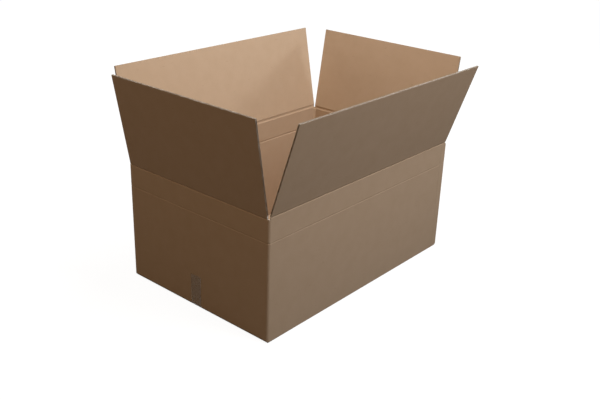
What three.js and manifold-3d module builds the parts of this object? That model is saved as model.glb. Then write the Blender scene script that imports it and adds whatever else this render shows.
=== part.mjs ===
// A large double-wall corrugated box with its four top flaps standing open.
// Millimetres, +Z up. X runs along the long walls and Y along the short ones.
// The origin is the middle of the underside.
// The box is one folded sheet of five-ply board. Its body holds the four walls, the glue lap
// and both layers of the bottom. The four top flaps are meshes of their own, because they turn
// on their creases. A strip of tape closes the bottom and climbs both short walls.

import * as THREE from "three";
import { mergeGeometries, mergeVertices } from "three/addons/utils/BufferGeometryUtils.js";
import Module from "manifold-3d";

const wasm = await Module();
wasm.setup();

// Sizes of the box
const INSIDE_LENGTH = 1180;
const INSIDE_WIDTH = 780;
const INSIDE_HEIGHT = 500;
const BOARD = 7;
const LAYER_GAP = 0.4;
const FLAP_MEETING_GAP = 1;
const SLOT_INSET = 8.5;

// How far each top flap leans outward from upright, in degrees
const TILT_FRONT = 17.9;
const TILT_BACK = 11.1;
const TILT_LEFT = 10;
const TILT_RIGHT = 9.3;

// Flutes of the two fluted plies, which show in the cut edges: the fine ply lies outside
const LINER = 0.35;
const FINE_FLUTE_HEIGHT = 2.5;
const FINE_FLUTE_PITCH = 6.4;
const COARSE_FLUTE_PITCH = 7.9;
const FLUTE_OPENING_SHARE = 0.9;
const FLUTE_PIT_DEPTH = 5;
const EDGE_CHANNEL_DEPTH = 1.5;

// Folds and creases
const CORNER_RADIUS = 10;
const CORNER_BEAD_LEG = 8;
const CORNER_BEAD_BULGE = 1.2;
const BEAD_END_GAP = 2;
const BOTTOM_FOLD_RADIUS = 6;
const CREASE_WEB = 1.5;
const CREASE_CLEARANCE = 0.3;
const SECOND_SCORE_DROP = 100;
const INNER_SCORE_DEPTH = 1.4;
const INNER_SCORE_WIDTH = 9;
const OUTER_SCORE_DEPTH = 0.6;
const OUTER_SCORE_WIDTH = 6;
const SCORE_FLAT = 1;

// Glue lap inside the front wall, at its right end
const LAP_WIDTH = 37;
const LAP_THICKNESS = 4;
const LAP_END_GAP = 12;
const LAP_END_SLANT = 10;
const LAP_PANEL_SETBACK = 3;
const LAP_MARK_DEPTH = 0.5;
const LAP_MARK_WIDTH = 6;

// Sealing tape
const TAPE_WIDTH = 60;
const TAPE_THICKNESS = 0.2;
const TAPE_RISE = 147;
const TAPE_CLEARANCE = 0.3;

// Facets in a quarter turn of each round edge
const CORNER_STEPS = 6;
const BEAD_STEPS = 4;
const FOLD_STEPS = 6;
const WEB_STEPS = 5;

// How far a cutting tool runs past the board that it cuts
const OVERSHOOT = 5;

// Levels and half sizes worked out from the sizes above
const halfLength = INSIDE_LENGTH / 2 + BOARD;
const halfWidth = INSIDE_WIDTH / 2 + BOARD;
const shortFoldLevel = BOARD + LAYER_GAP;
const floorLevel = shortFoldLevel + BOARD;
const shortCreaseLevel = floorLevel + INSIDE_HEIGHT + BOARD;
const longCreaseLevel = shortCreaseLevel + BOARD + LAYER_GAP;
const secondScoreLevel = (shortCreaseLevel + longCreaseLevel) / 2 - SECOND_SCORE_DROP;
const flapLength = halfWidth - FLAP_MEETING_GAP / 2;
const longFlapHalf = halfLength - SLOT_INSET;
const shortFlapHalf = halfWidth - SLOT_INSET;

const kraft = new THREE.MeshStandardMaterial({ color: 0x9c7d5e, roughness: 0.88, metalness: 0 });
const kraftFlap = new THREE.MeshStandardMaterial({ color: 0xa98b70, roughness: 0.88, metalness: 0 });
const clearTape = new THREE.MeshStandardMaterial({ color: 0x7d6f60, roughness: 0.35, metalness: 0 });

// The four sides. Inward points from the wall into the box, and along is inward crossed with up,
// so that a profile drawn as (inward, up) and extruded along the wall keeps its faces outward.
const UP = new THREE.Vector3(0, 0, 1);
const sides = {
  front: { inward: [0, 1, 0], distance: halfWidth, flapHalf: longFlapHalf, crease: longCreaseLevel },
  back: { inward: [0, -1, 0], distance: halfWidth, flapHalf: longFlapHalf, crease: longCreaseLevel },
  left: { inward: [1, 0, 0], distance: halfLength, flapHalf: shortFlapHalf, crease: shortCreaseLevel },
  right: { inward: [-1, 0, 0], distance: halfLength, flapHalf: shortFlapHalf, crease: shortCreaseLevel },
};

function sideMatrix(side, level) {
  const inward = new THREE.Vector3(...side.inward);
  const along = new THREE.Vector3().crossVectors(inward, UP);
  const matrix = new THREE.Matrix4().makeBasis(inward, UP, along);
  return matrix.setPosition(inward.multiplyScalar(-side.distance).addScaledVector(UP, level));
}

// Points of an arc round (x, y), from one angle to another in degrees
function arc(x, y, radius, from, to, steps) {
  const points = [];
  for (let i = 0; i <= steps; i += 1) {
    const angle = THREE.MathUtils.degToRad(from + ((to - from) * i) / steps);
    points.push(new THREE.Vector2(x + radius * Math.cos(angle), y + radius * Math.sin(angle)));
  }
  return points;
}

function extrude(points, length) {
  const shape = new THREE.Shape(points);
  const geometry = new THREE.ExtrudeGeometry(shape, { depth: length, bevelEnabled: false });
  return geometry.translate(0, 0, -length / 2);
}

function solidOf(geometry) {
  const bare = geometry.index ? geometry.toNonIndexed() : geometry.clone();
  bare.deleteAttribute("normal");
  bare.deleteAttribute("uv");
  const merged = mergeVertices(bare, 1e-4);
  const vertProperties = new Float32Array(merged.attributes.position.array);
  const triVerts = new Uint32Array(merged.index.array);
  return new wasm.Manifold(new wasm.Mesh({ numProp: 3, vertProperties, triVerts }));
}

function geometryOf(solid) {
  const mesh = solid.getMesh();
  const geometry = new THREE.BufferGeometry();
  geometry.setAttribute("position", new THREE.BufferAttribute(mesh.vertProperties, 3));
  geometry.setIndex(new THREE.BufferAttribute(mesh.triVerts, 1));
  return geometry;
}

// A profile drawn as (inward, up) from a side's outer face, run along that side
function alongSide(side, level, points, length) {
  return solidOf(extrude(points, length).applyMatrix4(sideMatrix(side, level)));
}

function block(x0, x1, y0, y1, z0, z1) {
  const geometry = new THREE.BoxGeometry(x1 - x0, y1 - y0, z1 - z0);
  return solidOf(geometry.translate((x0 + x1) / 2, (y0 + y1) / 2, (z0 + z1) / 2));
}

// A solid whose level outlines all have the same number of points
function loft(levels) {
  const count = levels[0].outline.length;
  const positions = levels.flatMap(({ z, outline }) => outline.flatMap((p) => [p.x, p.y, z]));
  const index = [];
  for (let level = 0; level < levels.length - 1; level += 1) {
    for (let i = 0; i < count; i += 1) {
      const a = level * count + i;
      const b = level * count + ((i + 1) % count);
      index.push(a, b, b + count, a, b + count, a + count);
    }
  }
  const top = (levels.length - 1) * count;
  for (const [a, b, c] of THREE.ShapeUtils.triangulateShape(levels[0].outline, [])) {
    index.push(a, c, b);
  }
  for (const [a, b, c] of THREE.ShapeUtils.triangulateShape(levels.at(-1).outline, [])) {
    index.push(top + a, top + b, top + c);
  }
  const geometry = new THREE.BufferGeometry();
  geometry.setAttribute("position", new THREE.Float32BufferAttribute(positions, 3));
  geometry.setIndex(index);
  return solidOf(geometry);
}

// Outer outline of the walls, seen from above, drawn in by the depth of a score.
// The corner with the glue lap stays square, and the other three are round folds.
function outerOutline(depth) {
  const x = halfLength - depth;
  const y = halfWidth - depth;
  const r = CORNER_RADIUS;
  return [
    new THREE.Vector2(x, -y),
    ...arc(x - r, y - r, r, 0, 90, CORNER_STEPS),
    ...arc(-x + r, y - r, r, 90, 180, CORNER_STEPS),
    ...arc(-x + r, -y + r, r, 180, 270, CORNER_STEPS),
  ];
}

// Inner outline of the walls, spread by the depth of a score. Each corner holds the bead of board
// that the fold pushes inward, a shallow bulge between the two walls.
function innerOutline(depth) {
  const x = INSIDE_LENGTH / 2 + depth;
  const y = INSIDE_WIDTH / 2 + depth;
  const corners = [[x, -y], [x, y], [-x, y], [-x, -y]];
  return corners.flatMap(([cx, cy]) => {
    const legs = [
      new THREE.Vector2(cx - Math.sign(cx) * CORNER_BEAD_LEG, cy),
      new THREE.Vector2(cx, cy - Math.sign(cy) * CORNER_BEAD_LEG),
    ];
    const [from, to] = cx * cy < 0 ? legs : legs.reverse();
    const bulge = new THREE.Vector2(-Math.sign(cx), -Math.sign(cy)).setLength(CORNER_BEAD_BULGE);
    const points = [];
    for (let i = 0; i <= BEAD_STEPS; i += 1) {
      const t = i / BEAD_STEPS;
      points.push(from.clone().lerp(to, t).addScaledVector(bulge, Math.sin(Math.PI * t)));
    }
    return points;
  });
}

// Levels of a wall face from bottom to top, with the second score pressed into it
function scoredLevels(outline, bottom, top, depth, width) {
  return [
    { z: bottom, outline: outline(0) },
    { z: secondScoreLevel - width / 2, outline: outline(0) },
    { z: secondScoreLevel - SCORE_FLAT / 2, outline: outline(depth) },
    { z: secondScoreLevel + SCORE_FLAT / 2, outline: outline(depth) },
    { z: secondScoreLevel + width / 2, outline: outline(0) },
    { z: top, outline: outline(0) },
  ];
}

// Top edge of a wall at its crease, drawn as (inward, up) from the turning line: a thin round web
// at the outer face, and behind it a 45 degree slope that makes room for the closed flap.
function wallTopLine() {
  const cut = THREE.MathUtils.radToDeg(Math.asin(CREASE_CLEARANCE / CREASE_WEB));
  const drop = CREASE_CLEARANCE * Math.SQRT2;
  const end = BOARD + OVERSHOOT;
  return [...arc(0, 0, CREASE_WEB, 90, -45 - cut, WEB_STEPS), new THREE.Vector2(end, -end - drop)];
}

// Everything above that edge, which is cut away from the wall
function wallTopCutter() {
  const line = wallTopLine();
  const end = line.at(-1).x;
  const above = longCreaseLevel - shortCreaseLevel + CREASE_WEB + OVERSHOOT;
  return [
    ...line,
    new THREE.Vector2(end, above),
    new THREE.Vector2(-OVERSHOOT, above),
    new THREE.Vector2(-OVERSHOOT, CREASE_WEB),
  ];
}

// A top flap's section, drawn as (inward, up) from the turning line while the flap is upright.
// Its foot is hollowed to sit over the web, and slopes at 45 degrees so that it can close.
function flapSection() {
  const seat = CREASE_WEB + CREASE_CLEARANCE;
  const cut = THREE.MathUtils.radToDeg(Math.asin(CREASE_CLEARANCE / seat));
  const rise = CREASE_CLEARANCE * Math.SQRT2;
  return [
    ...arc(0, 0, seat, 90, 45 + cut, WEB_STEPS),
    new THREE.Vector2(BOARD, BOARD + rise),
    new THREE.Vector2(BOARD, flapLength),
    new THREE.Vector2(0, flapLength),
  ];
}

// A wall's foot, its bottom fold and its bottom flap in one section, drawn as (inward, up)
// from the level where the folded board lies
function bottomSection(reach) {
  const r = BOTTOM_FOLD_RADIUS;
  const top = 2 * BOARD + LAYER_GAP;
  return [
    ...arc(r, r, r, 180, 270, FOLD_STEPS),
    new THREE.Vector2(reach, 0),
    new THREE.Vector2(reach, BOARD),
    new THREE.Vector2(BOARD, BOARD),
    new THREE.Vector2(BOARD, top),
    new THREE.Vector2(0, top),
  ];
}

function walls() {
  const top = longCreaseLevel + CREASE_WEB;
  const outer = scoredLevels(outerOutline, shortFoldLevel, top, OUTER_SCORE_DEPTH, OUTER_SCORE_WIDTH);
  const inner = scoredLevels(
    innerOutline, shortFoldLevel - OVERSHOOT, top + OVERSHOOT, INNER_SCORE_DEPTH, INNER_SCORE_WIDTH);
  let ring = loft(outer).subtract(loft(inner));

  // The corner beads stop short of the bottom flaps below and of the closed flaps above
  const x = INSIDE_LENGTH / 2;
  const y = INSIDE_WIDTH / 2;
  ring = ring.subtract(block(-x, x, -y, y, 0, floorLevel + BEAD_END_GAP));
  ring = ring.subtract(block(-x, x, -y, y, shortCreaseLevel - BOARD - BEAD_END_GAP, top + OVERSHOOT));

  for (const side of Object.values(sides)) {
    const cutter = alongSide(side, side.crease, wallTopCutter(), 2 * side.flapHalf);
    ring = ring.subtract(cutter);
  }

  // Between two flaps the slot runs down to the lower crease
  for (const sx of [-1, 1]) {
    for (const sy of [-1, 1]) {
      const xs = [sx * longFlapHalf, sx * (halfLength + OVERSHOOT)].sort((a, b) => a - b);
      const ys = [sy * shortFlapHalf, sy * (halfWidth + OVERSHOOT)].sort((a, b) => a - b);
      ring = ring.subtract(block(...xs, ...ys, shortCreaseLevel, top + OVERSHOOT));
    }
  }

  // The short walls' own foot comes with their bottom flaps
  for (const sx of [-1, 1]) {
    const xs = [sx * (x - OVERSHOOT), sx * (halfLength + OVERSHOOT)].sort((a, b) => a - b);
    ring = ring.subtract(block(...xs, -shortFlapHalf, shortFlapHalf, 0, floorLevel));
  }
  return ring;
}

// The bottom: the long flaps outside, the short flaps on top of them
function bottom() {
  const parts = [];
  for (const name of ["front", "back"]) {
    parts.push(alongSide(sides[name], 0, bottomSection(flapLength), 2 * longFlapHalf));
  }
  for (const name of ["left", "right"]) {
    parts.push(alongSide(sides[name], shortFoldLevel, bottomSection(flapLength), 2 * shortFlapHalf));
  }
  return parts.reduce((all, part) => all.add(part));
}

// Gap at the joint corner, seen from above: the front wall ends square, a little short of the
// corner, and the right wall's board folds in behind it to become the lap
function jointCutter() {
  const r = BOARD - 1;
  const cornerX = halfLength;
  const innerY = -INSIDE_WIDTH / 2;
  const points = [
    new THREE.Vector2(cornerX - LAP_PANEL_SETBACK, -halfWidth - OVERSHOOT),
    new THREE.Vector2(cornerX + OVERSHOOT, -halfWidth - OVERSHOOT),
    new THREE.Vector2(cornerX + OVERSHOOT, innerY + r),
    ...arc(cornerX - r, innerY + r, r, 0, -90, CORNER_STEPS),
    new THREE.Vector2(cornerX - LAP_PANEL_SETBACK, innerY),
  ];
  return solidOf(extrude(points, 4 * longCreaseLevel));
}

// The lap on the front wall's inner face, with slanted ends, drawn from inside as (across, up)
function glueLap() {
  const low = floorLevel + LAP_END_GAP;
  const high = shortCreaseLevel - BOARD - LAP_END_GAP;
  const points = [
    new THREE.Vector2(0, low),
    new THREE.Vector2(0, high),
    new THREE.Vector2(-LAP_WIDTH, high - LAP_END_SLANT),
    new THREE.Vector2(-LAP_WIDTH, low + LAP_END_SLANT),
  ];
  const rooted = LAP_THICKNESS + BOARD / 2;
  const geometry = extrude(points, rooted).rotateX(Math.PI / 2);
  const middle = -INSIDE_WIDTH / 2 + LAP_THICKNESS - rooted / 2;
  return solidOf(geometry.translate(INSIDE_LENGTH / 2 + BOARD / 2, middle, 0));
}

// The faint line that the lap's edge presses through to the front wall's outer face
function lapMark() {
  const half = LAP_MARK_WIDTH / 2;
  const x = INSIDE_LENGTH / 2 + BOARD / 2 - LAP_WIDTH;
  const points = [
    new THREE.Vector2(x - half, -halfWidth - LAP_MARK_DEPTH),
    new THREE.Vector2(x + half, -halfWidth - LAP_MARK_DEPTH),
    new THREE.Vector2(x, -halfWidth + LAP_MARK_DEPTH),
  ];
  const low = BOTTOM_FOLD_RADIUS;
  const high = longCreaseLevel - CREASE_WEB - LAP_MARK_WIDTH;
  return solidOf(extrude(points, high - low).translate(0, 0, (high + low) / 2));
}

// Shallow channel in the long bottom flaps, so that the tape lies level with the board
function tapeChannel() {
  const half = TAPE_WIDTH / 2 + TAPE_CLEARANCE;
  return block(-halfLength, halfLength, -half, half, -OVERSHOOT, TAPE_THICKNESS);
}

function boxBody() {
  const solid = walls().add(bottom()).subtract(jointCutter()).add(glueLap());
  const mesh = new THREE.Mesh(geometryOf(solid.subtract(lapMark()).subtract(tapeChannel())), kraft);
  mesh.name = "box_body";
  return mesh;
}

// The two fluted plies, from the liner that each one's openings stand on to the middle liner
const plies = [
  { liner: LINER, middle: LINER + FINE_FLUTE_HEIGHT, pitch: FINE_FLUTE_PITCH },
  { liner: BOARD - LINER, middle: 2 * LINER + FINE_FLUTE_HEIGHT, pitch: COARSE_FLUTE_PITCH },
];

// Open ends of one ply's flutes along a flap's free edge: a row of three-sided pits, each wide at
// its liner and narrowing towards the middle one, a pitch apart. The cutting points stand a little
// proud of the edge, and are as much larger as that takes.
function fluteEnds(ply, length) {
  const proud = LINER;
  const depth = FLUTE_PIT_DEPTH + proud;
  const size = (FLUTE_OPENING_SHARE * depth) / FLUTE_PIT_DEPTH;
  const height = (ply.middle - ply.liner) * size;
  const pit = new THREE.ConeGeometry(1, depth, 3, 1, false, Math.PI / 2).rotateX(Math.PI);
  pit.scale(Math.abs(height) / 1.5, 1, (ply.pitch * size) / Math.sqrt(3));
  pit.rotateY(height > 0 ? 0 : Math.PI);
  pit.translate(ply.liner + height / 3, flapLength + proud - depth / 2, 0);
  const room = length - 2 * (EDGE_CHANNEL_DEPTH + LINER);
  const count = Math.floor(room / ply.pitch);
  const copies = [];
  for (let i = 0; i < count; i += 1) {
    copies.push(pit.clone().translate(0, 0, (i - (count - 1) / 2) * ply.pitch));
  }
  return solidOf(mergeGeometries(copies));
}

// The channel that one ply leaves open along a flap's side edge, where the cut runs with the flutes
function edgeChannel(ply, edge) {
  const low = Math.min(ply.liner, ply.middle);
  const high = Math.max(ply.liner, ply.middle);
  const z = Math.abs(edge);
  const top = flapLength + OVERSHOOT;
  const channel = block(low, high, -OVERSHOOT, top, z - EDGE_CHANNEL_DEPTH, z + OVERSHOOT);
  return edge > 0 ? channel : channel.mirror([0, 0, 1]);
}

function flapGeometry(length) {
  let solid = solidOf(extrude(flapSection(), length));
  for (const ply of plies) {
    solid = solid.subtract(fluteEnds(ply, length));
    solid = solid.subtract(edgeChannel(ply, length / 2)).subtract(edgeChannel(ply, -length / 2));
  }
  return geometryOf(solid);
}

// A flap hangs in a group whose own X points into the box, Y up and Z along the crease
function topFlap(name, side, tilt) {
  const hinge = new THREE.Group();
  hinge.applyMatrix4(sideMatrix(side, side.crease));
  const flap = new THREE.Mesh(flapGeometry(2 * side.flapHalf), kraftFlap);
  flap.name = name;
  flap.rotation.z = THREE.MathUtils.degToRad(tilt);
  hinge.add(flap);
  return hinge;
}

// The tape's face against the board, from the middle of the underside to its end on a short wall:
// flat under the bottom, across the gap to the fold, round the fold and up the wall
function tapePath() {
  const radius = BOTTOM_FOLD_RADIUS + TAPE_CLEARANCE;
  const centre = new THREE.Vector2(halfLength - BOTTOM_FOLD_RADIUS, shortFoldLevel + BOTTOM_FOLD_RADIUS);
  const start = new THREE.Vector2(longFlapHalf + TAPE_CLEARANCE, TAPE_THICKNESS);
  const back = start.clone().sub(centre);
  const tangent = back.angle() - 2 * Math.PI + Math.acos(radius / back.length());
  const round = arc(centre.x, centre.y, radius, THREE.MathUtils.radToDeg(tangent), 0, FOLD_STEPS);
  const settle = 10 * TAPE_CLEARANCE;
  return [
    start,
    ...round,
    new THREE.Vector2(halfLength, centre.y + settle),
    new THREE.Vector2(halfLength, TAPE_RISE),
  ];
}

// Moves each point of a path to its right by the tape's thickness, with mitred turns
function outwardOf(path) {
  const right = (a, b) => new THREE.Vector2(b.y - a.y, a.x - b.x).normalize();
  return path.map((point, i) => {
    const before = i > 0 ? right(path[i - 1], point) : new THREE.Vector2(0, -1);
    const after = i < path.length - 1 ? right(point, path[i + 1]) : before;
    const mitre = before.clone().add(after).normalize();
    return point.clone().addScaledVector(mitre, TAPE_THICKNESS / mitre.dot(before));
  });
}

function sealingTape() {
  const inside = tapePath();
  const outside = outwardOf(inside);
  const mirrored = (points) => points.map((p) => new THREE.Vector2(-p.x, p.y)).reverse();
  const points = [...mirrored(outside), ...outside, ...inside.toReversed(), ...mirrored(inside).reverse()];
  const mesh = new THREE.Mesh(extrude(points, TAPE_WIDTH).rotateX(Math.PI / 2), clearTape);
  mesh.name = "sealing_tape";
  return mesh;
}

const box = new THREE.Group();
box.add(boxBody());
box.add(sealingTape());
box.add(topFlap("long_flap_front", sides.front, TILT_FRONT));
box.add(topFlap("long_flap_back", sides.back, TILT_BACK));
box.add(topFlap("short_flap_left", sides.left, TILT_LEFT));
box.add(topFlap("short_flap_right", sides.right, TILT_RIGHT));

export default box;
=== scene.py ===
# %% [markdown]
# # A large double-wall corrugated box, with its four top flaps standing open
#
# The box is one sheet of five-ply board, cut, scored and folded: a liner outside, a fine fluted
# ply, a liner in the middle, a coarse fluted ply and a liner inside. This lesson dresses a plain
# solid model of it. The solid gives every place and size. What Blender adds is what makes board
# look like board: flutes in the cut edges, crushed folds, paper colour and a thin tape.
#
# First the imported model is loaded. It stays the fixed frame, and nothing in it is moved.

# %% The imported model
import math

import bmesh
import bpy
from mathutils import Matrix, Vector, noise


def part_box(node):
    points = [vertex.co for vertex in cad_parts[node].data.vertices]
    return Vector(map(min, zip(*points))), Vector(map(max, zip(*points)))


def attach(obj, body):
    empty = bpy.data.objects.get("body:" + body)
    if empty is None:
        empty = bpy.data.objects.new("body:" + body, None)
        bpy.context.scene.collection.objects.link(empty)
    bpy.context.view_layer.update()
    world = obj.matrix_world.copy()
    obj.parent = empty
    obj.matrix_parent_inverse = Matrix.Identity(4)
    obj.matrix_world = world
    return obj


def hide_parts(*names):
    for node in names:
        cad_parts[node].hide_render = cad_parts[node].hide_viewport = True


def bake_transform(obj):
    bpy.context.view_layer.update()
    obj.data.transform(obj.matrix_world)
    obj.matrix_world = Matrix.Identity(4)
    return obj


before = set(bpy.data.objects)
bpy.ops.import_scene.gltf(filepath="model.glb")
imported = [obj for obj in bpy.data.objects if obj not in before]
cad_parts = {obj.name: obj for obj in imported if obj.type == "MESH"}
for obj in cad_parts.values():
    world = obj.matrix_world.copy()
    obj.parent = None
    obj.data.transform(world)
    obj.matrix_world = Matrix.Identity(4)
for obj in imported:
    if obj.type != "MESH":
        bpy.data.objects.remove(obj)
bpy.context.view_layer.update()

print("nodes:", sorted(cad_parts))

# %% [markdown]
# The sizes are written in millimetres, as a box maker would write them, and turned to metres
# once. They repeat the sizes of the solids, so each new piece lands where its solid is.

# %% Sizes of the board and the box
MM = 0.001
BOARD = 7.0
LINER = 0.35
FINE_FLUTE = {"height": 2.5, "pitch": 6.4}
COARSE_FLUTE = {"height": 3.45, "pitch": 7.9}
HALF_LENGTH = 597.0
HALF_WIDTH = 397.0
SHORT_CREASE = 521.4
LONG_CREASE = 528.8
FLAP_LENGTH = 396.5
LONG_FLAP_HALF = 588.5
SHORT_FLAP_HALF = 388.5
BOTTOM_TOP = 14.4
SECOND_SCORE_DROP = 100.0
SHORT_BOTTOM_FLAP_END = 200.0

# inward: from the wall into the box. lean: how far the open flap leans out, in degrees
SIDES = {
    "front": {"inward": (0, 1, 0), "distance": HALF_WIDTH, "crease": LONG_CREASE,
              "half": LONG_FLAP_HALF, "lean": 17.9, "node": "long_flap_front"},
    "back": {"inward": (0, -1, 0), "distance": HALF_WIDTH, "crease": LONG_CREASE,
             "half": LONG_FLAP_HALF, "lean": 11.1, "node": "long_flap_back"},
    "left": {"inward": (1, 0, 0), "distance": HALF_LENGTH, "crease": SHORT_CREASE,
             "half": SHORT_FLAP_HALF, "lean": 10.0, "node": "short_flap_left"},
    "right": {"inward": (-1, 0, 0), "distance": HALF_LENGTH, "crease": SHORT_CREASE,
              "half": SHORT_FLAP_HALF, "lean": 9.3, "node": "short_flap_right"},
}
for name, side in SIDES.items():
    low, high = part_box(side["node"])
    print(name, "flap's solid, metres:", [round(v, 4) for v in (*low, *high)])

# %% [markdown]
# The camera stands where the photographer stood, near one corner of the box and a little above
# its flaps. Its place and lens were worked out beforehand from the corners of the box, so that
# the model's edges fall on the same lines as the real ones.

# %% Camera
camera_data = bpy.data.cameras.new("camera")
camera_data.sensor_width = 36
camera_data.lens = 48.29
camera = bpy.data.objects.new("camera", camera_data)
bpy.context.scene.collection.objects.link(camera)
camera.matrix_world = (
    Matrix.Translation((-2.515608, -2.158976, 1.731414))
    @ Matrix.Rotation(math.radians(-49.791), 4, "Z")
    @ Matrix.Rotation(math.radians(66.606), 4, "X")
    @ Matrix.Rotation(math.radians(1.986), 4, "Z")
)
bpy.context.scene.camera = camera
bpy.context.scene.view_settings.view_transform = "Standard"
print("camera at", tuple(round(v, 3) for v in camera.location), "lens", camera_data.lens, "mm")

# %% [markdown]
# Three helpers serve every material. One turns a colour as a designer writes it, an sRGB hex
# value, to the linear values that a shader takes. One starts an empty material. The last adds a
# node, with its settings and whatever goes into its sockets, so that a material reads from top
# to bottom like a recipe.

# %% Helpers for materials
def linear(colour):
    channels = [int(colour[i:i + 2], 16) / 255 for i in (1, 3, 5)]
    bright = [c / 12.92 if c <= 0.04045 else ((c + 0.055) / 1.055) ** 2.4 for c in channels]
    return (*bright, 1.0)


def new_material(name):
    material = bpy.data.materials.new(name)
    material.use_nodes = True
    material.node_tree.nodes.clear()
    return material


def add(owner, kind, inputs=None, **settings):
    tree = owner.node_tree
    node = tree.nodes.new(kind)
    for name, value in settings.items():
        setattr(node, name, value)
    for socket, value in (inputs or {}).items():
        if isinstance(value, bpy.types.NodeSocket):
            tree.links.new(value, node.inputs[socket])
        else:
            node.inputs[socket].default_value = value
    return node


print("middle grey in linear values:", [round(v, 3) for v in linear("#808080")[:3]])

# %% [markdown]
# The stage is a plain pale floor and soft light. A floor under real lamps is grey and uneven, so
# the camera also sees light of the floor's own, which makes it white and grows a little with
# distance. Only the camera sees that light, so the box isn't lit by it, and a soft shadow stays.
# The floor throws little of the lamps' light back, because the flaps lean out over it and would
# look too bright from below.

# %% Floor and world
FLOOR_SIZE = 60.0
FLOOR_THROWS_BACK = (0.11, 0.11, 0.11, 1)
GLOW_NEAR = 0.94
GLOW_FAR = 1.0
NEAR = 1.0
FAR = 3.5
bm = bmesh.new()
bmesh.ops.create_grid(bm, x_segments=1, y_segments=1, size=FLOOR_SIZE / 2)
floor_mesh = bpy.data.meshes.new("floor")
bm.to_mesh(floor_mesh)
bm.free()
floor = bpy.data.objects.new("floor", floor_mesh)
bpy.context.scene.collection.objects.link(floor)


def seen_directly(owner):
    path = add(owner, "ShaderNodeLightPath").outputs
    glossy = add(owner, "ShaderNodeMath", {0: path["Is Camera Ray"], 1: path["Is Glossy Ray"]},
                 operation="MAXIMUM")
    return add(owner, "ShaderNodeMath", {0: glossy.outputs[0], 1: path["Is Transmission Ray"]},
               operation="MAXIMUM").outputs[0]


paper_floor = new_material("matt_white_floor")
spot = add(paper_floor, "ShaderNodeTexCoord").outputs["Object"]
away = add(paper_floor, "ShaderNodeVectorMath", {0: spot}, operation="LENGTH").outputs["Value"]
growing = add(paper_floor, "ShaderNodeMapRange",
              {"Value": away, "From Min": NEAR, "From Max": FAR,
               "To Min": GLOW_NEAR, "To Max": GLOW_FAR})
glow_seen = add(paper_floor, "ShaderNodeMath",
                {0: seen_directly(paper_floor), 1: growing.outputs[0]}, operation="MULTIPLY")
matt = add(paper_floor, "ShaderNodeBsdfDiffuse", {"Color": FLOOR_THROWS_BACK})
glow = add(paper_floor, "ShaderNodeEmission",
           {"Color": (1, 1, 1, 1), "Strength": glow_seen.outputs[0]})
both = add(paper_floor, "ShaderNodeAddShader", {0: matt.outputs[0], 1: glow.outputs[0]})
add(paper_floor, "ShaderNodeOutputMaterial", {"Surface": both.outputs[0]})
floor_mesh.materials.append(paper_floor)

WORLD_COLOUR = (0.02, 0.02, 0.02, 1)
world = bpy.data.worlds.new("studio")
world.use_nodes = True
world.node_tree.nodes.clear()
bpy.context.scene.world = world
room = add(world, "ShaderNodeBackground", {"Color": WORLD_COLOUR, "Strength": 1.0})
white = add(world, "ShaderNodeBackground", {"Color": (1, 1, 1, 1), "Strength": 1.0})
sky = add(world, "ShaderNodeMixShader",
          {0: seen_directly(world), 1: room.outputs[0], 2: white.outputs[0]})
add(world, "ShaderNodeOutputWorld", {"Surface": sky.outputs[0]})
print("floor", FLOOR_SIZE, "m across")

# %% [markdown]
# In the photograph the long near wall is bright, the short near wall is dark and warm, and a
# soft slanting shadow crosses the far long flap. So most light comes from above and in front of
# the long wall, a cooler lamp far to the right throws that shadow, and two weak warm lamps on the
# left serve the dark wall. A last one keeps the back from going black. Area lamps give soft
# edges. Each is turned to face the middle of the box.

# %% Lamps
LAMPS = {
    "over_box": {"at": (0.2, 0.1, 2.6), "size": 0.8, "power": 28.0, "colour": (0.92, 0.97, 1.0)},
    "high_front": {"at": (0.3, -2.2, 4.6), "size": 1.4, "power": 66.0, "colour": (1.0, 1.0, 1.0)},
    "front": {"at": (0.4, -3.2, 3.2), "size": 1.8, "power": 84.0, "colour": (1.0, 1.0, 1.0)},
    "cool_right": {"at": (4.2, -1.2, 2.6), "size": 0.8, "power": 82.0, "colour": (0.76, 0.89, 1.0)},
    "high_left": {"at": (-2.2, 0.0, 4.6), "size": 1.4, "power": 66.0, "colour": (1.0, 0.8, 0.56)},
    "low_left": {"at": (-4.0, 0.3, 1.3), "size": 1.4, "power": 8.5, "colour": (1.0, 0.52, 0.16)},
    "back_fill": {"at": (-0.4, 3.6, 2.2), "size": 1.6, "power": 36.0, "colour": (1.0, 0.97, 0.93)},
}
AIM = Vector((0, 0, 0.5))
for name, lamp in LAMPS.items():
    data = bpy.data.lights.new(name, "AREA")
    data.shape = "DISK"
    data.size = lamp["size"]
    data.energy = lamp["power"]
    data.color = lamp["colour"]
    light = bpy.data.objects.new(name, data)
    bpy.context.scene.collection.objects.link(light)
    light.location = lamp["at"]
    light.rotation_euler = (AIM - light.location).to_track_quat("-Z", "Y").to_euler()
    print("lamp", name, lamp["power"], "W")

# %% [markdown]
# Kraft liner is unbleached paper from long fibres. It is matt, brown and never quite even: soft
# clouds a few centimetres wide from the paper machine, short fibres that lie along the web, and
# now and then a dark fleck. The flutes below show through as a faint washboard. A photograph
# could be laid over the box instead, but procedural paper has no seams and no fixed light in it.
# The fibres run across the flutes, which stand upright in all four walls, so two turned versions
# are made: one for the long walls and one for the short walls.

# %% Kraft liner
CLOUD_WIDTH = 55.0
FIBRE_LENGTH = 14.0
FIBRE_WIDTH = 1.6
FLECK_WIDTH = 3.0
KRAFT = "#ad937a"
KRAFT_DARK = "#a88e74"
KRAFT_LIGHT = "#b29880"


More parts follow.
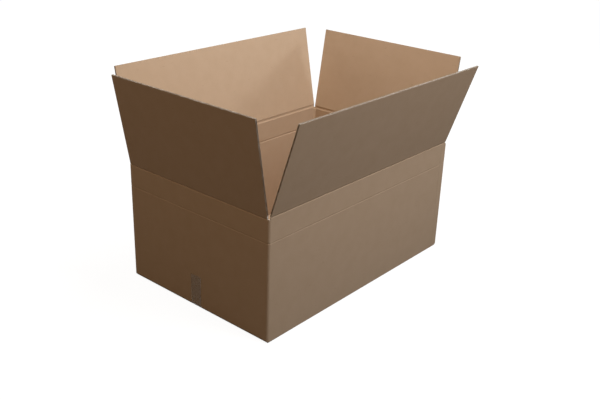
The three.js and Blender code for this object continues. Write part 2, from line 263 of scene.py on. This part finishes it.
def kraft_liner(name, turn):
    material = new_material(name)
    place = add(material, "ShaderNodeTexCoord").outputs["Object"]
    along = add(material, "ShaderNodeMapping",
                {"Vector": place, "Rotation": (0, 0, math.radians(turn))}).outputs[0]
    stretch = (FIBRE_WIDTH / FIBRE_LENGTH, 1, 1)
    fibre_place = add(material, "ShaderNodeMapping", {"Vector": along, "Scale": stretch}).outputs[0]
    clouds = add(material, "ShaderNodeTexNoise",
                 {"Vector": along, "Scale": 1 / (CLOUD_WIDTH * MM), "Detail": 3.0, "Roughness": 0.55})
    fibres = add(material, "ShaderNodeTexNoise",
                 {"Vector": fibre_place, "Scale": 1 / (FIBRE_WIDTH * MM), "Detail": 2.0,
                  "Roughness": 0.6})
    flecks = add(material, "ShaderNodeTexNoise",
                 {"Vector": fibre_place, "Scale": 1 / (FLECK_WIDTH * MM), "Detail": 1.0})
    fleck_mask = add(material, "ShaderNodeMapRange",
                     {"Value": flecks.outputs[0], "From Min": 0.74, "From Max": 0.82, "To Max": 0.5})
    cloudy = add(material, "ShaderNodeMix",
                 {"Factor": clouds.outputs[0], "A": linear(KRAFT_DARK), "B": linear(KRAFT_LIGHT)},
                 data_type="RGBA")
    fibre_share = add(material, "ShaderNodeMapRange",
                      {"Value": fibres.outputs[0], "From Min": 0.3, "From Max": 0.7,
                       "To Min": 0.0, "To Max": 0.45})
    fibrous = add(material, "ShaderNodeMix",
                  {"Factor": fibre_share.outputs[0], "A": cloudy.outputs["Result"], "B": linear(KRAFT)},
                  data_type="RGBA")
    flecked = add(material, "ShaderNodeMix",
                  {"Factor": fleck_mask.outputs[0], "A": fibrous.outputs["Result"],
                   "B": linear("#7d5f40")}, data_type="RGBA")
    washboard = add(material, "ShaderNodeTexWave",
                    {"Vector": along, "Scale": math.pi / (10 * FINE_FLUTE["pitch"] * MM),
                     "Distortion": 0.6, "Detail": 1.0})
    height = add(material, "ShaderNodeMath",
                 {0: washboard.outputs["Fac"], 1: 0.12, 2: fibres.outputs[0]}, operation="MULTIPLY_ADD")
    bump = add(material, "ShaderNodeBump",
               {"Height": height.outputs[0], "Strength": 0.35, "Distance": 0.2 * MM})
    paper = add(material, "ShaderNodeBsdfPrincipled",
                {"Base Color": flecked.outputs["Result"], "Roughness": 0.82,
                 "Specular IOR Level": 0.15, "Normal": bump.outputs[0]})
    add(material, "ShaderNodeOutputMaterial", {"Surface": paper.outputs[0]})
    return material


liner_long = kraft_liner("kraft_liner_long_walls", 0)
liner_short = kraft_liner("kraft_liner_short_walls", 90)
print("kraft liner:", liner_long.name, liner_short.name)

# %% [markdown]
# Where the board is cut, the blade leaves the paper's raw inside: paler, greyer and a little
# fuzzy. The fluted plies are made from recycled paper, which is greyer too. One material serves
# both, with short fibres seen end on.

# %% Cut edges and fluted plies
CUT_FIBRE = 1.2


def raw_paper(name, pale, dark):
    material = new_material(name)
    place = add(material, "ShaderNodeTexCoord").outputs["Object"]
    fuzz = add(material, "ShaderNodeTexNoise",
               {"Vector": place, "Scale": 1 / (CUT_FIBRE * MM), "Detail": 3.0, "Roughness": 0.7})
    blotches = add(material, "ShaderNodeTexNoise",
                   {"Vector": place, "Scale": 1 / (12 * CUT_FIBRE * MM), "Detail": 2.0})
    both = add(material, "ShaderNodeMath", {0: fuzz.outputs[0], 1: blotches.outputs[0]},
               operation="MULTIPLY")
    share = add(material, "ShaderNodeMapRange",
                {"Value": both.outputs[0], "From Min": 0.12, "From Max": 0.4})
    tone = add(material, "ShaderNodeMix",
               {"Factor": share.outputs[0], "A": linear(dark), "B": linear(pale)}, data_type="RGBA")
    bump = add(material, "ShaderNodeBump",
               {"Height": fuzz.outputs[0], "Strength": 0.6, "Distance": 0.2 * MM})
    paper = add(material, "ShaderNodeBsdfPrincipled",
                {"Base Color": tone.outputs["Result"], "Roughness": 0.92,
                 "Specular IOR Level": 0.1, "Normal": bump.outputs[0]})
    add(material, "ShaderNodeOutputMaterial", {"Surface": paper.outputs[0]})
    return material


cut_edge = raw_paper("cut_paper_edge", "#ded8d0", "#b5a796")
fluting = raw_paper("recycled_fluting", "#c6bbaa", "#9c8c78")
print("raw paper:", cut_edge.name, fluting.name)

# %% [markdown]
# Six helpers make pieces. A side's matrix turns a profile drawn as (inward, up, along) to that
# side of the box, with its zero on the line round which the flap turns. `finished` makes the
# object from a bmesh, with its place in its mesh and its own object at the origin. Edges that
# bend less than its angle are shaded smooth. `keep_faces_flat` keeps smooth shading from
# spreading over large flat faces. `grow` extrudes a row of edges, and `thicken` gives a sheet
# its thickness. `liner_of` picks the liner whose fibres run the right way for a side.

# %% Helpers for pieces
def side_matrix(side, lean=0.0):
    inward = Vector(side["inward"])
    up = Vector((0, 0, 1))
    turn = Matrix((inward, up, inward.cross(up))).transposed().to_4x4()
    corner = -inward * side["distance"] * MM + up * side["crease"] * MM
    lean_out = Matrix.Rotation(math.radians(lean), 4, "Z")
    return Matrix.Translation(corner) @ turn @ lean_out @ Matrix.Scale(MM, 4)


def finished(bm, name, matrix, materials, smooth_below=25.0):
    for edge in bm.edges:
        edge.smooth = edge.calc_face_angle(math.pi) < math.radians(smooth_below)
    for face in bm.faces:
        face.smooth = True
    mesh = bpy.data.meshes.new(name)
    bm.to_mesh(mesh)
    bm.free()
    mesh.transform(matrix)
    for material in materials:
        mesh.materials.append(material)
    piece = bpy.data.objects.new(name, mesh)
    bpy.context.scene.collection.objects.link(piece)
    print(name, len(mesh.polygons), "faces")
    return piece


def keep_faces_flat(piece):
    flat = piece.modifiers.new("flat_faces", "WEIGHTED_NORMAL")
    flat.mode = "FACE_AREA"
    flat.weight = 100
    flat.keep_sharp = True


def grow(bm, edges):
    grown = bmesh.ops.extrude_edge_only(bm, edges=edges)["geom"]
    verts = {g for g in grown if isinstance(g, bmesh.types.BMVert)}
    along = [g for g in grown if isinstance(g, bmesh.types.BMEdge) and set(g.verts) <= verts]
    return verts, along


def thicken(piece, thickness, rim_offset=1):
    shell = piece.modifiers.new("paper", "SOLIDIFY")
    shell.thickness = thickness * MM
    shell.offset = 0.0
    shell.use_even_offset = True
    shell.material_offset_rim = rim_offset


def liner_of(name):
    return liner_long if name in ("front", "back") else liner_short


print("helpers for pieces are ready")

# %% [markdown]
# The walls and the bottom are one folded piece, and the solid already has its shape: round
# folds, the second score, the glue lap and both layers of bottom flaps. So a copy of it is
# dressed. Its loose triangles are merged and its flat faces made whole, which gives the round
# corners smooth shading. Just below each crease the board is crushed, so the wall's top is drawn
# in a little there, and the thin web on which the flap turns is pressed down. The second score,
# which lets the box be folded lower, is pressed somewhat deeper than the solid has it, as a
# scoring wheel leaves it. The round corners turn 15 degrees a step, and the score's slopes are
# steeper, so an angle between the two keeps the corners smooth and the score crisp.

# %% Walls and bottom
CREASE_SLOPE = 5.0
CREASE_DRAW_IN = 1.9
WEB_DROP = 0.5
SCORE_LEVEL = (SHORT_CREASE + LONG_CREASE) / 2 - SECOND_SCORE_DROP
SCORE_FLAT_HALF = 0.6
OUTER_SCORE_PRESS = 0.15
INNER_SCORE_PRESS = 0.9
MERGE = 0.01
CLOSE = 0.1
CORNER_SMOOTH_BELOW = 16.0
WALL_MATERIALS = [liner_long, liner_short, cut_edge, fluting]
LONG_LINER, SHORT_LINER, CUT, PANEL_END = range(len(WALL_MATERIALS))

bm = bmesh.new()
bm.from_mesh(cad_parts["box_body"].data)
bmesh.ops.remove_doubles(bm, verts=bm.verts, dist=MERGE * MM)
bmesh.ops.dissolve_limit(bm, angle_limit=math.radians(0.4), verts=bm.verts, edges=bm.edges)
for level in (SHORT_CREASE - CREASE_SLOPE, LONG_CREASE - CREASE_SLOPE):
    everything = bm.verts[:] + bm.edges[:] + bm.faces[:]
    bmesh.ops.bisect_plane(bm, geom=everything, plane_co=(0, 0, level * MM), plane_no=(0, 0, 1))


def press_crease(vert, side):
    inward = Vector(side["inward"])
    depth = (vert.co.dot(inward) / MM) + side["distance"]
    above = vert.co.z / MM - (side["crease"] - CREASE_SLOPE)
    along = abs(vert.co.dot(inward.cross(Vector((0, 0, 1))))) / MM
    if above < CLOSE or along > side["half"] + CLOSE or depth > BOARD:
        return
    vert.co.z = min(vert.co.z, (side["crease"] - WEB_DROP) * MM)
    if depth < CREASE_DRAW_IN:
        share = min(1.0, (vert.co.z / MM - side["crease"] + CREASE_SLOPE) / CREASE_SLOPE)
        vert.co += inward * (CREASE_DRAW_IN * share - depth) * MM


def press_score(vert):
    if abs(vert.co.z / MM - SCORE_LEVEL) > SCORE_FLAT_HALF:
        return
    beyond = max(abs(vert.co.x) / MM - HALF_LENGTH, abs(vert.co.y) / MM - HALF_WIDTH)
    outside = beyond > -BOARD / 2
    press = OUTER_SCORE_PRESS if outside else INNER_SCORE_PRESS
    vert.co -= press * MM * Vector((vert.normal.x, vert.normal.y, 0)).normalized()


bm.normal_update()
for vert in bm.verts:
    press_score(vert)
    for side in SIDES.values():
        press_crease(vert, side)
bmesh.ops.dissolve_degenerate(bm, dist=MERGE * MM, edges=bm.edges)


def wall_material(face):
    x, y, z = (abs(v) / MM for v in face.calc_center_median())
    sideways = max(abs(face.normal.x), abs(face.normal.y)) > 0.95
    inside_x = x < HALF_LENGTH - 1
    if abs(face.normal.x) > 0.95 and y > HALF_WIDTH - BOARD and inside_x:
        return PANEL_END
    flap_edge = sideways and z < BOTTOM_TOP and inside_x and y < HALF_WIDTH - 1
    post_top = face.normal.z > 0.95 and z > SHORT_CREASE - 1 and x > LONG_FLAP_HALF - 3
    if flap_edge or post_top:
        return CUT
    on_short_wall = x > HALF_LENGTH - BOARD - 1
    on_short_flap = BOTTOM_TOP / 2 < z < BOTTOM_TOP + 0.2 and x > SHORT_BOTTOM_FLAP_END
    return SHORT_LINER if on_short_wall or on_short_flap else LONG_LINER


for face in bm.faces:
    face.material_index = wall_material(face)
walls = finished(bm, "box_walls", Matrix.Identity(4), WALL_MATERIALS, CORNER_SMOOTH_BELOW)
keep_faces_flat(walls)
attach(walls, "box")
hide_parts("box_body")

# %% [markdown]
# Each top flap is built as the board is: three flat liners with two waves between them. A ply
# starts as a line along the flap's free edge, straight for a liner and waved for a fluted ply,
# and is extruded down to the flap's foot. Near the foot the plies are crushed together by the
# score, and the blade has pinched them a little at the free edge. Each sheet gets the paper's
# thickness from a Solidify modifier, whose rim takes the raw paper of a cut edge.

# %% Top flaps
WAVE_STEPS = 10
# The flaps end half a millimetre short on each side, so that they don't graze the corner posts
TRIM = 0.5
FLUTED_SHEET = 0.30
WAVE_SMOOTH_BELOW = 60.0
# Level above the crease, and where the board's outer and inner face lie there
FLAP_LEVELS = [
    (FLAP_LENGTH, 0.12, 6.85), (FLAP_LENGTH - 2, 0.02, 6.97), (FLAP_LENGTH - 6, 0.0, 7.0),
    (13.0, 0.0, 7.0), (9.0, 0.0, 6.85), (7.0, 0.0, 6.0), (5.5, 0.2, 4.9), (4.0, 0.7, 3.6),
    (2.6, 1.3, 2.5),
]
LINER_MIDDLES = (LINER / 2, 1.5 * LINER + FINE_FLUTE["height"], BOARD - LINER / 2)
FLUTED = [
    (LINER + FINE_FLUTE["height"] / 2, FINE_FLUTE),
    (BOARD - LINER - COARSE_FLUTE["height"] / 2, COARSE_FLUTE),
]


def crushed(depth, outer, inner):
    return outer + depth * (inner - outer) / BOARD


def extrude_ply(bm, depths, half):
    steps = len(depths) - 1
    row = [bm.verts.new((0, 0, half * (2 * i / steps - 1))) for i in range(steps + 1)]
    edges = [bm.edges.new(pair) for pair in zip(row, row[1:])]
    for number, (level, outer, inner) in enumerate(FLAP_LEVELS):
        if number:
            fresh, edges = grow(bm, edges)
            row = sorted(fresh, key=lambda vert: vert.co.z)
        for vert, depth in zip(row, depths):
            vert.co.x = crushed(depth, outer, inner)
            vert.co.y = level


def wave(middle, flute, half):
    steps = round(2 * half / flute["pitch"] * WAVE_STEPS)
    swing = (flute["height"] - FLUTED_SHEET) / 2
    return [middle + swing * math.cos(2 * math.pi * i / WAVE_STEPS) for i in range(steps + 1)]


for name, side in SIDES.items():
    body = "flap_" + name
    matrix = side_matrix(side, side["lean"])
    half = side["half"] - TRIM

    bm = bmesh.new()
    for middle in LINER_MIDDLES:
        extrude_ply(bm, [middle, middle], half)
    bmesh.ops.recalc_face_normals(bm, faces=bm.faces)
    liners = finished(bm, side["node"] + "_liners", matrix, [liner_of(name), cut_edge])
    thicken(liners, LINER)

    bm = bmesh.new()
    for middle, flute in FLUTED:
        extrude_ply(bm, wave(middle, flute, half), half)
    flutes = finished(bm, side["node"] + "_flutes", matrix, [fluting, cut_edge], WAVE_SMOOTH_BELOW)
    thicken(flutes, FLUTED_SHEET)

    keep_faces_flat(liners)
    for piece in (liners, flutes):
        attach(piece, body)
        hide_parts(side["node"])

# %% [markdown]
# On the real box each flap is one with its wall: the score crushes the board along the crease,
# and there it bends. So one more piece bridges the two, a sleeve round the crushed board, grooved
# on both faces. Its lower points follow the wall and its upper points are turned by the flap's
# lean, with a smooth turn between, so that the fold is closed at the flap's open angle. A crease
# is never quite straight or even, so the groove wanders a little along its length.

# %% Creases
# Both faces as (inward, up) from the turning line
OUTER_GROOVE = [(-0.05, -13), (-0.08, -8), (-0.1, -4.6), (-0.06, -3.6), (0.5, -2.1), (1.55, -0.5),
                (1.55, 0.5), (0.5, 2.1), (-0.06, 3.6), (-0.1, 4.6), (-0.08, 8), (-0.05, 13)]
INNER_GROOVE = [(7.06, -13), (7.1, -10), (7.1, -8), (6.9, -7), (6.0, -5.4), (5.3, -3.6), (4.9, -1.7),
                (4.8, 0), (4.9, 1.7), (5.3, 3.6), (6.0, 5.4), (6.9, 7), (7.1, 8), (7.1, 10), (7.06, 13)]
CREASE_STEP = 12.0
CREASE_WANDER = 0.18
WANDER_WIDTH = 70.0
WANDER_REACH = 10.0
SIDE_SEED_STEP = 9.0
UP_SEED = Vector((5, 5, 5))

for number, (name, side) in enumerate(SIDES.items()):
    half = side["half"] - TRIM
    lean = Matrix.Rotation(math.radians(side["lean"]), 2)
    bm = bmesh.new()
    ring = []
    for inward, up in OUTER_GROOVE + INNER_GROOVE[::-1]:
        leaned = lean @ Vector((inward, up)) if up > 0 else Vector((inward, up))
        ring.append(bm.verts.new((*leaned, -half)))
    outline = bm.faces.new(ring)
    steps = round(2 * side["half"] / CREASE_STEP)
    stride = Vector((0, 0, 2 * half / steps))
    for step in range(steps):
        grown = bmesh.ops.extrude_face_region(bm, geom=[outline])["geom"]
        old, outline = outline, next(g for g in grown if isinstance(g, bmesh.types.BMFace))
        bmesh.ops.translate(bm, vec=stride, verts=outline.verts[:])
        if step:
            bm.faces.remove(old)
    bmesh.ops.recalc_face_normals(bm, faces=bm.faces)
    for vert in bm.verts:
        spot = Vector((number * SIDE_SEED_STEP, 0, vert.co.z / WANDER_WIDTH))
        near = max(0.0, 1 - abs(vert.co.y) / WANDER_REACH)
        vert.co.x += CREASE_WANDER * near * noise.noise(spot)
        vert.co.y += 3 * CREASE_WANDER * near * noise.noise(spot + UP_SEED)
    for face in bm.faces:
        face.material_index = int(abs(face.normal.z) > 0.9)
    matrix = side_matrix(side)
    crease = finished(bm, name + "_crease", matrix, [liner_of(name), cut_edge])
    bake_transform(crease)

# %% [markdown]
# A strip of clear packing tape closes the seam of the bottom. It runs up both short walls and
# ends there in the small teeth of the dispenser. Packing tape is a film of polypropylene, thin,
# smooth and slightly glossy, and over brown board it looks a shade darker and greyer. It is
# drawn as a strip along its path, with one half mirrored to the other, and made partly
# see-through, so that the board's own grain shows in it.

# %% Sealing tape
TAPE_HALF = 30.0
TAPE_RISE = 147.0
TAPE_FILM = 0.08
TAPE_COLUMNS = 24
TOOTH = 1.4
FOLD_RADIUS = 6.3
FOLD_AT = (HALF_LENGTH - 6.0, 13.4)
ON_WALL = HALF_LENGTH + 0.08
STREAK_WIDTH = 12.0

film = new_material("clear_packing_tape")
place = add(film, "ShaderNodeTexCoord").outputs["Object"]
streak_place = add(film, "ShaderNodeMapping", {"Vector": place, "Scale": (0.06, 1, 0.06)}).outputs[0]
streaks = add(film, "ShaderNodeTexNoise",
              {"Vector": streak_place, "Scale": 1 / (STREAK_WIDTH * MM), "Detail": 1.0}).outputs[0]
rough = add(film, "ShaderNodeMapRange", {"Value": streaks, "To Min": 0.3, "To Max": 0.4})
ripple = add(film, "ShaderNodeBump",
             {"Height": streaks, "Strength": 0.12, "Distance": 0.2 * MM})
plastic = add(film, "ShaderNodeBsdfPrincipled",
              {"Base Color": linear("#a18a6a"), "Roughness": rough.outputs[0], "IOR": 1.49,
               "Alpha": 0.32, "Normal": ripple.outputs[0]})
add(film, "ShaderNodeOutputMaterial", {"Surface": plastic.outputs[0]})

path = [(0.0, 0.1), (HALF_LENGTH - 20, 0.1), (588.8, 0.15)]
for degrees in (-52, -40, -28, -16, -4, 0):
    angle = math.radians(degrees)
    path.append((FOLD_AT[0] + FOLD_RADIUS * math.cos(angle),
                 FOLD_AT[1] + FOLD_RADIUS * math.sin(angle)))
path += [(HALF_LENGTH + 0.12, 17.0), (ON_WALL, 60.0), (ON_WALL, TAPE_RISE - 4), (ON_WALL, TAPE_RISE)]

bm = bmesh.new()
row = [bm.verts.new((path[0][0], TAPE_HALF * (2 * i / TAPE_COLUMNS - 1), path[0][1]))
       for i in range(TAPE_COLUMNS + 1)]
edges = [bm.edges.new(pair) for pair in zip(row, row[1:])]
for x, z in path[1:]:
    fresh, edges = grow(bm, edges)
    for vert in fresh:
        vert.co.x, vert.co.z = x, z
for number, vert in enumerate(sorted(fresh, key=lambda v: v.co.y)):
    vert.co.z -= TOOTH * (number % 2)
bmesh.ops.mirror(bm, geom=bm.verts[:] + bm.edges[:] + bm.faces[:], merge_dist=0.01, axis="X")
bmesh.ops.recalc_face_normals(bm, faces=bm.faces)
tape = finished(bm, "packing_tape", Matrix.Scale(MM, 4), [film])
thicken(tape, TAPE_FILM, rim_offset=0)
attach(tape, "box")
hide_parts("sealing_tape")
